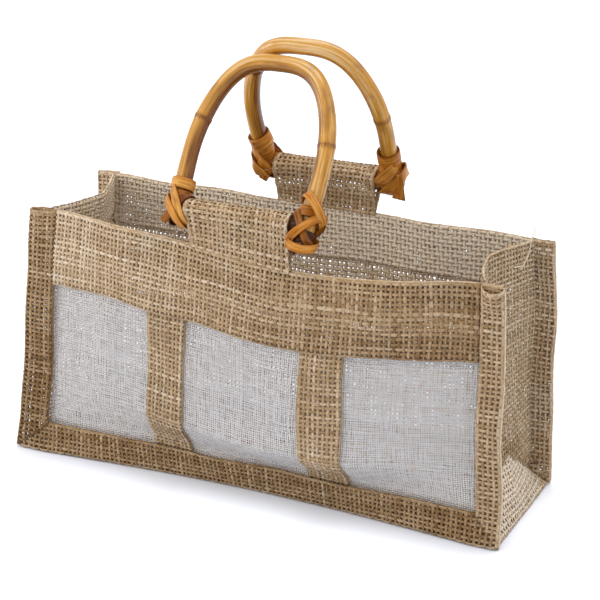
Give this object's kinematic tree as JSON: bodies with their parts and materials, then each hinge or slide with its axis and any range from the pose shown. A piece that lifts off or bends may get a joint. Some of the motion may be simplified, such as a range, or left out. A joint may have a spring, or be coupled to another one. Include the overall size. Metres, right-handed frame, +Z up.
{
  "type": "gift bag",
  "caption": "Small open jute bag with muslin windows along its front, folded side gussets, and swinging arched cane handles held in jute tabs",
  "frame": {"origin": "middle of the flat underside, on the plane that the bag stands on", "axes": "+X along the bag's length, to the right when the windows face the viewer; -Y the windowed front; +Z up"},
  "size_m": [0.24, 0.0886, 0.2026],
  "materials": {
    "jute": "coarse plain weave",
    "muslin": "open sheer weave",
    "cane": "satin",
    "cane_peel": "satin"
  },
  "bodies": {
    "bag": {"front_band": "jute", "window_cloth": "muslin", "left_strap": "jute", "right_strap": "jute", "back_panel": "jute", "front_left_border": "jute", "front_right_border": "jute", "front_bottom_border": "jute", "back_left_border": "jute", "back_right_border": "jute", "back_bottom_border": "jute", "gusset_strip": "jute"},
    "front_tab": {"front_tab": "jute"},
    "back_tab": {"back_tab": "jute"},
    "front_handle": {"front_arch": "cane", "front_crossbar": "cane", "front_left_lashing": "cane_peel", "front_right_lashing": "cane_peel"},
    "back_handle": {"back_arch": "cane", "back_crossbar": "cane", "back_left_lashing": "cane_peel", "back_right_lashing": "cane_peel"}
  },
  "joints": [
    {"name": "front_tab_flop", "type": "hinge", "parent": "bag", "child": "front_tab", "pos_m": [-0.00079, -0.04157, 0.11627], "axis": [0.9955, -0.0644, -0.0695], "range_deg": [0, 30]},
    {"name": "front_handle_swing", "type": "hinge", "parent": "front_tab", "child": "front_handle", "pos_m": [-0.0021, -0.0374, 0.1318], "axis": [0.999, -0.0436, 0], "range_deg": [0, 150]},
    {"name": "back_tab_flop", "type": "hinge", "parent": "bag", "child": "back_tab", "pos_m": [0.00619, 0.0334, 0.12], "axis": [-0.9997, 0.0232, 0], "range_deg": [0, 30]},
    {"name": "back_handle_swing", "type": "hinge", "parent": "back_tab", "child": "back_handle", "pos_m": [0.007, 0.0331, 0.136], "axis": [-0.9999, -0.0122, 0], "range_deg": [0, 150]}
  ]
}
